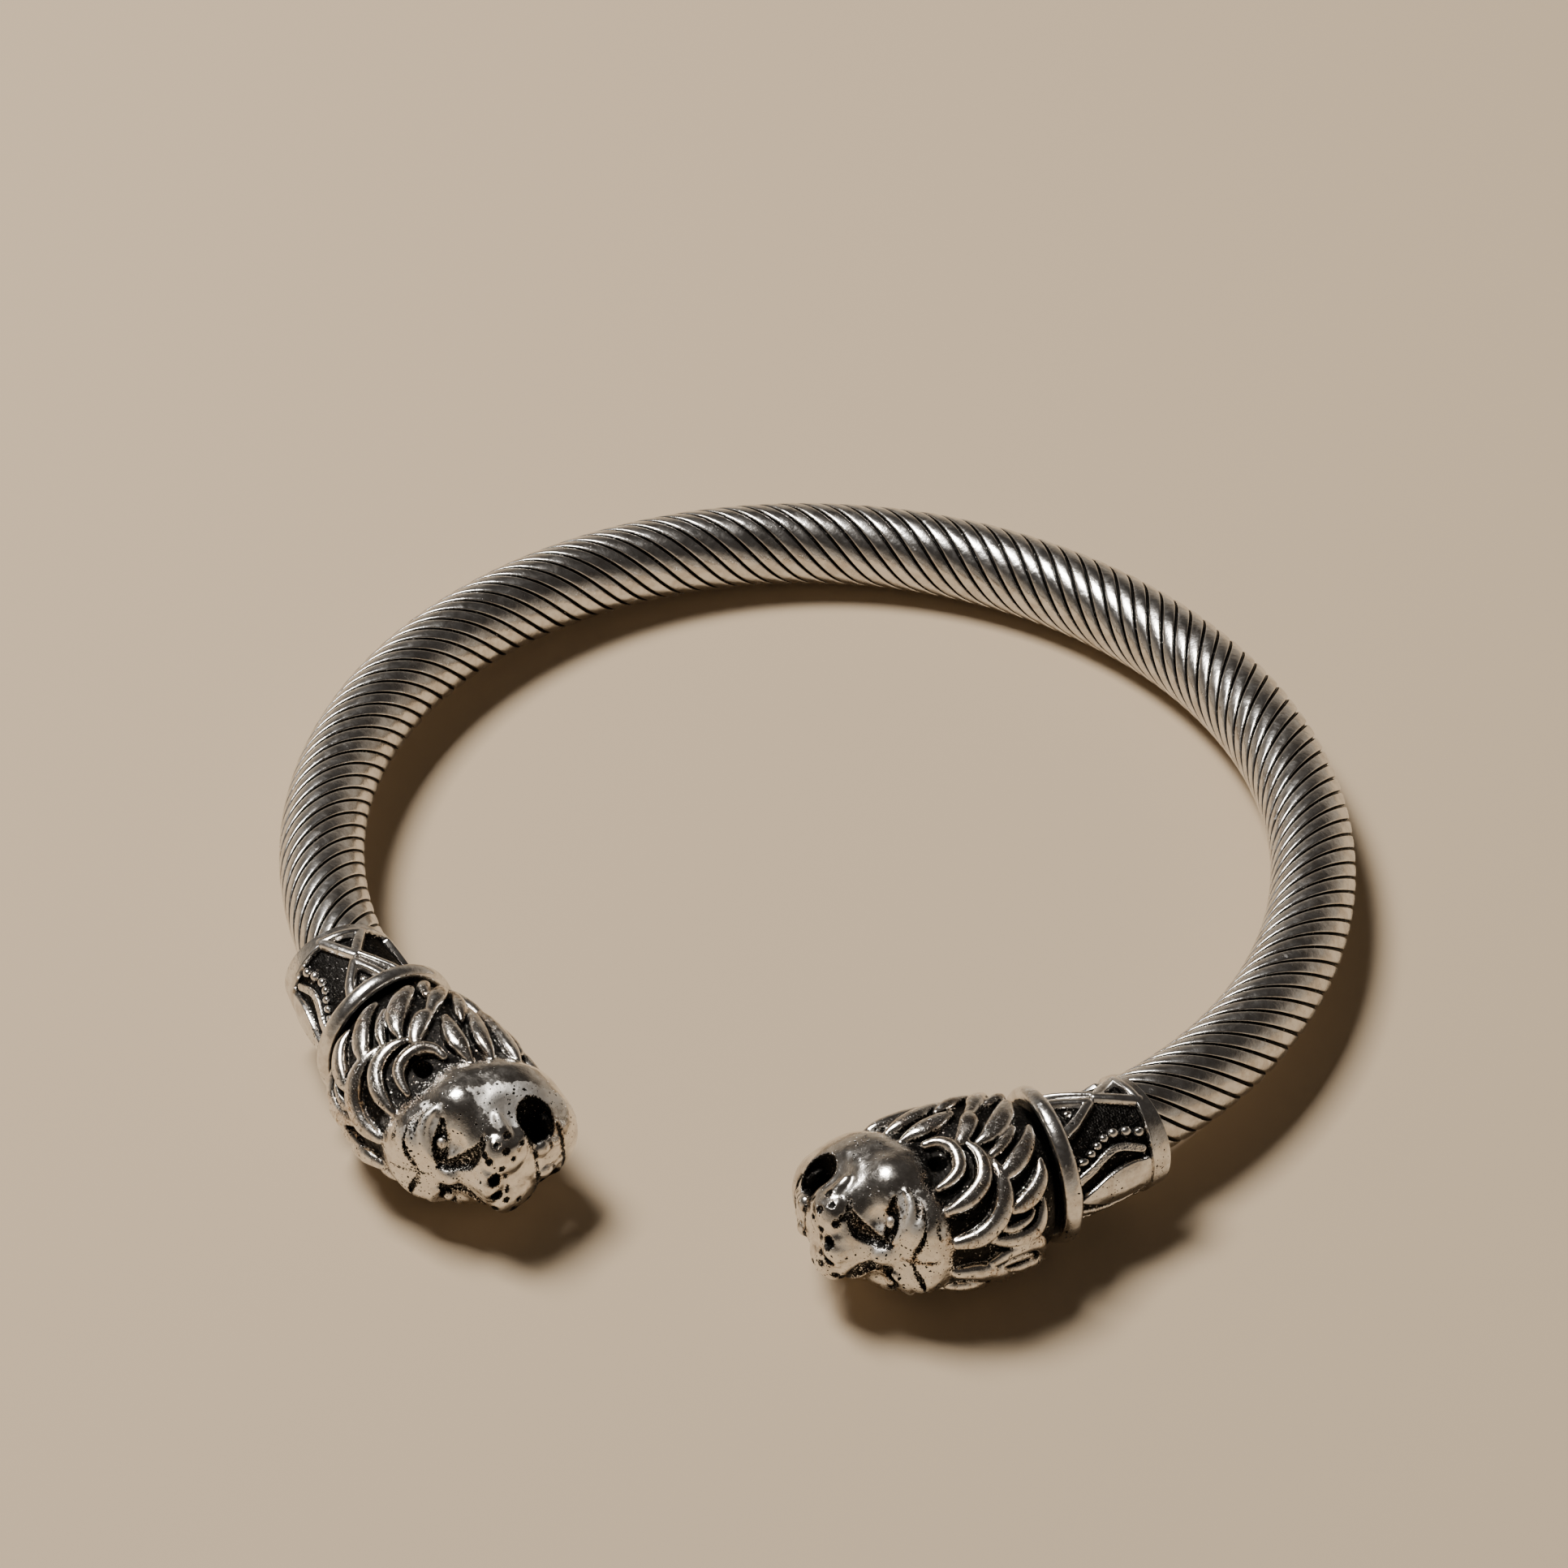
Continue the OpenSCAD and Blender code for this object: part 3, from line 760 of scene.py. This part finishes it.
def silver(name, tint, gloss, edge, grain, pits, stain):
    """Oxidised silver: polished where the skin is free, and black and rough where it is sheltered"""
    m = bpy.data.materials.new(name)
    m.use_nodes = True
    tree = m.node_tree
    shader = tree.nodes["Principled BSDF"]
    place = node(tree, "ShaderNodeTexCoord").outputs["Object"]
    shelter = node(tree, "ShaderNodeAttribute", attribute_name="oxide").outputs["Fac"]
    matt = node(tree, "ShaderNodeAttribute", attribute_name="matt").outputs["Fac"]
    coarse = noise(tree, place, 3000, 4, 0.65)
    fine = noise(tree, place, 8000, 3, 0.65)
    grit = noise(tree, place, 5200, 4, 0.7)

    # Black oxide with bright flecks in it
    shift = swing(tree, fine, grain * 2.8, swing(tree, coarse, grain * 2.2, shelter))
    fleck = ramp(tree, times_plus(tree, shelter, -0.08, swing(tree, coarse, 0.5, grit)), 0.55, 0.61)
    black = ramp(tree, shift, edge - 0.06, edge + 0.06)
    black = times(tree, black, times_plus(tree, fleck, -0.75, 1.0))

    # Pits, in clusters and all over the matt patches
    matt = ramp(tree, swing(tree, noise(tree, place, 1100, 4, 0.65), 2.4, matt), 0.35, 0.65)
    cluster = ramp(tree, noise(tree, place, 300, 2), 0.4, 0.62)
    cluster = math_node(tree, "MAXIMUM", cluster, times(tree, matt, 1.3))
    wander = node(tree, "ShaderNodeVectorMath", operation="MULTIPLY_ADD")
    put(tree, wander.inputs[0], noise(tree, place, 2600, 2, output="Color"))
    wander.inputs[1].default_value = PIT_WANDER
    put(tree, wander.inputs[2], place)
    for scale, share in PIT_CELLS:
        cell = node(tree, "ShaderNodeTexVoronoi")
        put(tree, cell.inputs["Vector"], wander.outputs[0])
        cell.inputs["Scale"].default_value = scale
        chance = node(tree, "ShaderNodeSeparateColor")
        put(tree, chance.inputs[0], cell.outputs["Color"])
        size = math_node(tree, "POWER", chance.outputs[0], 2.6)
        size = times(tree, times(tree, size, cluster), pits * share)
        pit = ramp(tree, math_node(tree, "SUBTRACT", cell.outputs["Distance"], size), 0.02, -0.03)
        black = math_node(tree, "MAXIMUM", black, pit)

    # Colour: a warm stain near the oxide, dull patches, and the black over both
    worn = ramp(tree, noise(tree, place, 420, 3, 0.6, 0.4), 0.46, 0.64)
    near = ramp(tree, shift, edge - 0.35, edge)
    warm = math_node(tree, "MULTIPLY", times(tree, worn, near), stain, clamp=True)
    dull = times_plus(tree, coarse, 0.5, noise(tree, place, 800, 4, 0.6))
    dull = times(tree, ramp(tree, dull, 0.6, 0.95), times_plus(tree, matt, -0.6, 0.6))
    colour = mix_colour(tree, warm, tint, STAIN)
    colour = mix_colour(tree, dull, colour, DULL)
    colour = mix_colour(tree, black, colour, BLACK)
    put(tree, shader.inputs["Base Color"], colour)
    shader.inputs["Metallic"].default_value = 1.0

    # Gloss
    smear = ramp(tree, noise(tree, place, 900, 5, 0.7, 0.6), 0.3, 0.75, gloss, gloss + 0.13)
    smear = times_plus(tree, matt, 0.28, times_plus(tree, dull, 0.06, smear))
    put(tree, shader.inputs["Roughness"], times_plus(tree, black, 0.25, smear))

    # Dents in the metal, and rubble on the oxide, which lies lower
    dents = times_plus(tree, noise(tree, place, 1500, 4, 0.6), 1.3, times(tree, fine, 0.1))
    rubble = times(tree, math_node(tree, "ADD", grit, coarse), times(tree, black, 1.5))
    height = math_node(tree, "ADD", times_plus(tree, black, -1.9, dents), rubble)
    bump = node(tree, "ShaderNodeBump")
    bump.inputs["Strength"].default_value = 0.4
    bump.inputs["Distance"].default_value = DENT_DEPTH
    put(tree, bump.inputs["Height"], height)
    put(tree, shader.inputs["Normal"], bump.outputs[0])
    return m


def plain(name, colour, rough):
    m = bpy.data.materials.new(name)
    m.use_nodes = True
    tree = m.node_tree
    shader = tree.nodes["Principled BSDF"]
    shader.inputs["Base Color"].default_value = colour
    shader.inputs["Roughness"].default_value = rough
    return m


# The pieces

rod_finish = silver("silver_rod", tint=(0.8, 0.78, 0.75, 1), gloss=0.15, edge=0.5, grain=0.2,
                    pits=0.1, stain=0.2)
cast_finish = silver("silver_cast", tint=(0.87, 0.83, 0.77, 1), gloss=0.11, edge=0.45, grain=0.46,
                     pits=0.38, stain=0.8)
collar_finish = silver("silver_collar", tint=(0.84, 0.82, 0.79, 1), gloss=0.13, edge=0.5,
                       grain=0.4, pits=0.42, stain=0.6)

pieces = [(build_rod(), "rod", rod_finish, "silver")]
pieces.append((build_collar(-1, "collar_left_skin"), "collar_left", collar_finish, "dark_silver"))
pieces.append((build_collar(1, "collar_right_skin"), "collar_right", collar_finish, "dark_silver"))
parts = head_parts()
pieces.append((build_head(-1, "lion_head_left_skin", parts), "lion_head_left", cast_finish, "silver"))
pieces.append((build_head(1, "lion_head_right_skin", parts), "lion_head_right", cast_finish, "silver"))
for piece, name, finish, slot in pieces:
    piece.data.materials.append(finish)
    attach(piece, "root")
    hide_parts(name)


# Floor, lights and camera

FLOOR_COLOUR = (0.53, 0.41, 0.275, 1)
LOW_SKY = (0.4, 0.34, 0.27, 1)
HIGH_SKY = (0.04, 0.035, 0.031, 1)
LAMP_COLOUR = (1.0, 0.97, 0.93)


def flat(name, half, z):
    mesh = bpy.data.meshes.new(name)
    corners = [(-half, -half, z), (half, -half, z), (half, half, z), (-half, half, z)]
    mesh.from_pydata(corners, [], [(0, 1, 2, 3)])
    thing = bpy.data.objects.new(name, mesh)
    bpy.context.scene.collection.objects.link(thing)
    return thing


floor = flat("floor", half=3.0, z=-0.00002)
floor.data.materials.append(plain("pale_floor", FLOOR_COLOUR, rough=0.85))


def area_light(name, place, aim, size, power, colour):
    lamp = bpy.data.lights.new(name, "AREA")
    lamp.shape = "RECTANGLE"
    lamp.size, lamp.size_y = size
    lamp.energy = power
    lamp.color = colour
    thing = bpy.data.objects.new(name, lamp)
    thing.location = place
    thing.rotation_euler = (Vector(aim) - Vector(place)).to_track_quat("-Z", "Y").to_euler()
    bpy.context.scene.collection.objects.link(thing)


area_light("softbox", place=(-0.29, 0.06, 0.66), aim=(0, 0, 0), size=(0.25, 0.25), power=8.5,
           colour=LAMP_COLOUR)

world = bpy.data.worlds.new("studio")
bpy.context.scene.world = world
world.use_nodes = True
sky = world.node_tree
split = node(sky, "ShaderNodeSeparateXYZ")
put(sky, split.inputs[0], node(sky, "ShaderNodeTexCoord").outputs["Generated"])
height = ramp(sky, split.outputs[2], 0.1, 0.6)
put(sky, sky.nodes["Background"].inputs[0], mix_colour(sky, height, LOW_SKY, HIGH_SKY))

# The photo's camera: its focal length and picture in pixels, its slant, and its distance
# and shifts in millimetres along its own axes. It is then turned about the ring's axis.

PHOTO_PX = 1932
FOCAL_PX = 8664
SENSOR = 36
TILT_DOWN = math.radians(42.35)
ROLL = math.radians(0.40)
FROM_SIDE = math.radians(15.22)
DISTANCE, SHIFT_RIGHT, SHIFT_UP = 493.6, -2.40, 4.417

forward = Vector((0, math.cos(TILT_DOWN), -math.sin(TILT_DOWN)))
right = Vector((1, 0, 0))
up = Vector((0, math.sin(TILT_DOWN), math.cos(TILT_DOWN)))
place = -forward * DISTANCE + right * SHIFT_RIGHT + up * SHIFT_UP
across = math.cos(ROLL) * right + math.sin(ROLL) * up
upward = -math.sin(ROLL) * right + math.cos(ROLL) * up
spin = Matrix.Rotation(FROM_SIDE, 3, "Z")
across, upward, forward, place = spin @ across, spin @ upward, spin @ forward, spin @ place
place += Vector((0, 0, REST_LIFT))
camera = bpy.data.objects.new("camera", bpy.data.cameras.new("camera"))
camera.data.sensor_width = SENSOR
camera.data.lens = SENSOR * FOCAL_PX / PHOTO_PX
camera.data.clip_start = 0.01
camera.data.clip_end = 10
turn = Matrix((across, upward, -forward)).transposed().to_4x4()
camera.matrix_world = Matrix.Translation(place * MM) @ turn
bpy.context.scene.collection.objects.link(camera)
bpy.context.scene.camera = camera


bpy.context.view_layer.update()
